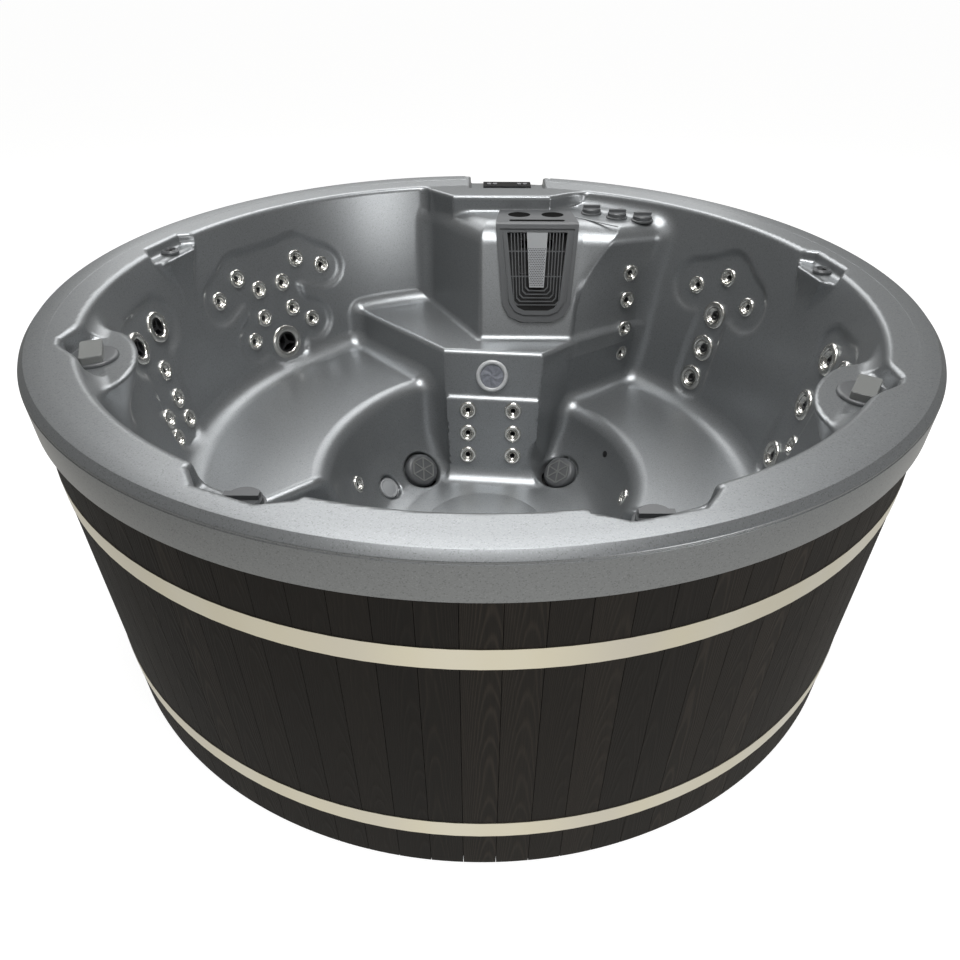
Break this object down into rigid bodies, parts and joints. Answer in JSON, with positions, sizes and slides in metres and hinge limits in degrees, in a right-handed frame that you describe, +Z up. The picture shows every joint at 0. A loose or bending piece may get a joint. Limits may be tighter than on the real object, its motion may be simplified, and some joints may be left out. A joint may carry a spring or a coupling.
{
  "type": "round hot tub",
  "caption": "Round hot tub: moulded acrylic shell with seats, footwell, jets, skimmer and controls, in a dark stave skirt held by steel hoops.",
  "frame": {"origin": "on the ground, under the middle of the round rim", "axes": "+Z up, +Y towards the skimmer and control panel, +X to the right seen from the front"},
  "size_m": [1.992, 1.992, 0.825],
  "materials": {
    "shell_acrylic": "satin metallic, fine speckle",
    "stained_wood": "dark stain, open grain",
    "hoop_steel": "brushed",
    "jet_chrome": "polished",
    "jet_black": "satin",
    "graphite": "satin",
    "pale_grey": "satin",
    "lens": "faceted, clear",
    "panel_black": "gloss",
    "button_grey": "matt",
    "pan_plastic": "textured",
    "frame_timber": "raw",
    "pipe_white": "satin",
    "motor_paint": "satin",
    "heater_steel": "brushed",
    "filter_cloth": "pleated",
    "bolt_steel": "plain"
  },
  "bodies": {
    "tub": {"acrylic_shell": "shell_acrylic", "air_control_bases": "graphite", "base_pan": "pan_plastic", "cabinet_frame": "frame_timber", "cable_gland": "jet_black", "control_box": "pale_grey", "control_box_lid": "pale_grey", "control_panel": "panel_black", "deck_jet_rings": "graphite", "display_window": "panel_black", "diverter_bases": "graphite", "floor_cap": "pale_grey", "floor_support": "pan_plastic", "heater_tube": "heater_steel", "hoop_bolts": "bolt_steel", "large_jet_rims": "jet_chrome", "light_housing": "pipe_white", "light_lens": "lens", "lower_hoop": "hoop_steel", "middle_jet_rims": "jet_chrome", "pipework": "pipe_white", "pump_motor": "motor_paint", "pump_wet_end": "pan_plastic", "sensor_plug": "jet_black", "skimmer_bucket": "graphite", "skirt_staves": "stained_wood", "small_jet_nozzles": "jet_black", "small_jet_rims": "jet_chrome", "suction_bases": "graphite", "suction_covers": "graphite", "upper_hoop": "hoop_steel"},
    "air_knob_1": {"air_knob_1": "graphite"},
    "air_knob_2": {"air_knob_2": "graphite"},
    "air_knob_3": {"air_knob_3": "graphite"},
    "air_knob_4": {"air_knob_4": "graphite"},
    "air_knob_5": {"air_knob_5": "graphite"},
    "deck_jet_nozzle_left": {"deck_jet_nozzle_left": "jet_black"},
    "deck_jet_nozzle_right": {"deck_jet_nozzle_right": "jet_black"},
    "diverter_handle_left": {"diverter_handle_left": "graphite"},
    "diverter_handle_right": {"diverter_handle_right": "graphite"},
    "jet_rotor_1": {"jet_rotor_1": "jet_black"},
    "jet_rotor_2": {"jet_rotor_2": "jet_black"},
    "jet_rotor_3": {"jet_rotor_3": "jet_black"},
    "middle_jet_nozzle_1": {"middle_jet_nozzle_1": "jet_black"},
    "middle_jet_nozzle_2": {"middle_jet_nozzle_2": "jet_black"},
    "middle_jet_nozzle_3": {"middle_jet_nozzle_3": "jet_black"},
    "middle_jet_nozzle_4": {"middle_jet_nozzle_4": "jet_black"},
    "middle_jet_nozzle_5": {"middle_jet_nozzle_5": "jet_black"},
    "middle_jet_nozzle_6": {"middle_jet_nozzle_6": "jet_black"},
    "panel_button_1": {"panel_button_1": "button_grey"},
    "panel_button_2": {"panel_button_2": "button_grey"},
    "panel_button_3": {"panel_button_3": "button_grey"},
    "panel_button_4": {"panel_button_4": "button_grey"},
    "weir_flap": {"weir_flap": "graphite"},
    "pump_impeller": {"pump_impeller": "pan_plastic"},
    "skimmer_face": {"skimmer_grille": "graphite", "grille_strip": "pale_grey", "skimmer_cap": "graphite"},
    "cartridge": {"filter_media": "filter_cloth", "filter_end_caps": "pipe_white"}
  },
  "joints": [
    {"name": "air_knob_1_turn", "type": "hinge", "parent": "tub", "child": "air_knob_1", "pos_m": [0.36, 0.748, 0.75825], "axis": [0, 0, 1], "range_deg": [0, 180]},
    {"name": "air_knob_2_turn", "type": "hinge", "parent": "tub", "child": "air_knob_2", "pos_m": [0.437, 0.7, 0.75825], "axis": [0, 0, 1], "range_deg": [0, 180]},
    {"name": "air_knob_3_turn", "type": "hinge", "parent": "tub", "child": "air_knob_3", "pos_m": [0.513, 0.668, 0.75825], "axis": [0, 0, 1], "range_deg": [0, 180]},
    {"name": "air_knob_4_turn", "type": "hinge", "parent": "tub", "child": "air_knob_4", "pos_m": [-0.35967, -0.82719, 0.76325], "axis": [0, 0, 1], "range_deg": [0, 180]},
    {"name": "air_knob_5_turn", "type": "hinge", "parent": "tub", "child": "air_knob_5", "pos_m": [0.25467, -0.8653, 0.76325], "axis": [0, 0, 1], "range_deg": [0, 180]},
    {"name": "deck_jet_nozzle_left_turn", "type": "hinge", "parent": "tub", "child": "deck_jet_nozzle_left", "pos_m": [-0.85453, 0.26943, 0.777], "axis": [0, 0, 1], "range_deg": [-90, 90]},
    {"name": "deck_jet_nozzle_right_turn", "type": "hinge", "parent": "tub", "child": "deck_jet_nozzle_right", "pos_m": [0.88422, 0.1448, 0.777], "axis": [0, 0, 1], "range_deg": [-90, 90]},
    {"name": "diverter_handle_left_turn", "type": "hinge", "parent": "tub", "child": "diverter_handle_left", "pos_m": [-0.80562, -0.3337, 0.74925], "axis": [0, 0, 1], "range_deg": [0, 180]},
    {"name": "diverter_handle_right_turn", "type": "hinge", "parent": "tub", "child": "diverter_handle_right", "pos_m": [0.73132, -0.47492, 0.74925], "axis": [0, 0, 1], "range_deg": [0, 180]},
    {"name": "jet_rotor_1_spin", "type": "hinge", "parent": "tub", "child": "jet_rotor_1", "pos_m": [-0.87412, 0.09033, 0.64724], "axis": [0.9754, -0.1008, 0.1961], "continuous": true},
    {"name": "jet_rotor_2_spin", "type": "hinge", "parent": "tub", "child": "jet_rotor_2", "pos_m": [-0.87739, -0.03217, 0.64324], "axis": [0.9799, 0.0359, 0.1961], "continuous": true},
    {"name": "jet_rotor_3_spin", "type": "hinge", "parent": "tub", "child": "jet_rotor_3", "pos_m": [-0.65529, 0.51197, 0.41125], "axis": [0.7727, -0.6037, 0.1961], "continuous": true},
    {"name": "middle_jet_nozzle_1_turn", "type": "hinge", "parent": "tub", "child": "middle_jet_nozzle_1", "pos_m": [0.7388, 0.43693, 0.54317], "axis": [-0.844, -0.4992, 0.1961], "range_deg": [0, 90]},
    {"name": "middle_jet_nozzle_2_turn", "type": "hinge", "parent": "tub", "child": "middle_jet_nozzle_2", "pos_m": [0.71981, 0.42739, 0.43717], "axis": [-0.8432, -0.5006, 0.1961], "range_deg": [0, 90]},
    {"name": "middle_jet_nozzle_3_turn", "type": "hinge", "parent": "tub", "child": "middle_jet_nozzle_3", "pos_m": [0.69829, 0.4229, 0.33317], "axis": [-0.8388, -0.508, 0.1961], "range_deg": [0, 90]},
    {"name": "middle_jet_nozzle_4_turn", "type": "hinge", "parent": "tub", "child": "middle_jet_nozzle_4", "pos_m": [0.87287, -0.06716, 0.63959], "axis": [-0.9777, 0.0752, 0.1961], "range_deg": [0, 90]},
    {"name": "middle_jet_nozzle_5_turn", "type": "hinge", "parent": "tub", "child": "middle_jet_nozzle_5", "pos_m": [0.84684, -0.06665, 0.50959], "axis": [-0.9776, 0.0769, 0.1961], "range_deg": [0, 90]},
    {"name": "middle_jet_nozzle_6_turn", "type": "hinge", "parent": "tub", "child": "middle_jet_nozzle_6", "pos_m": [0.8139, -0.04265, 0.3376], "axis": [-0.9792, 0.0513, 0.1961], "range_deg": [0, 90]},
    {"name": "panel_button_1_press", "type": "slide", "parent": "tub", "child": "panel_button_1", "axis": [0, 0, -1], "range_m": [0, 0.0018], "stiffness_N_per_m": 400},
    {"name": "panel_button_2_press", "type": "slide", "parent": "tub", "child": "panel_button_2", "axis": [0, 0, -1], "range_m": [0, 0.0018], "stiffness_N_per_m": 400},
    {"name": "panel_button_3_press", "type": "slide", "parent": "tub", "child": "panel_button_3", "axis": [0, 0, -1], "range_m": [0, 0.0018], "stiffness_N_per_m": 400},
    {"name": "panel_button_4_press", "type": "slide", "parent": "tub", "child": "panel_button_4", "axis": [0, 0, -1], "range_m": [0, 0.0018], "stiffness_N_per_m": 400},
    {"name": "weir_swing", "type": "hinge", "parent": "tub", "child": "weir_flap", "pos_m": [0.174, 0.58184, 0.61832], "axis": [-1, 0, 0], "range_deg": [0, 25], "stiffness_Nm_per_rad": 0.05, "springref_deg": -28.65},
    {"name": "impeller_spin", "type": "hinge", "parent": "tub", "child": "pump_impeller", "pos_m": [-0.68, -0.025, 0.12], "axis": [0, 1, 0], "continuous": true},
    {"name": "grille_lift", "type": "slide", "parent": "tub", "child": "skimmer_face", "axis": [0, -0.6, 0.8], "range_m": [0, 0.25]},
    {"name": "cartridge_lift", "type": "slide", "parent": "tub", "child": "cartridge", "axis": [0, 0, 1], "range_m": [0, 0.13]}
  ]
}
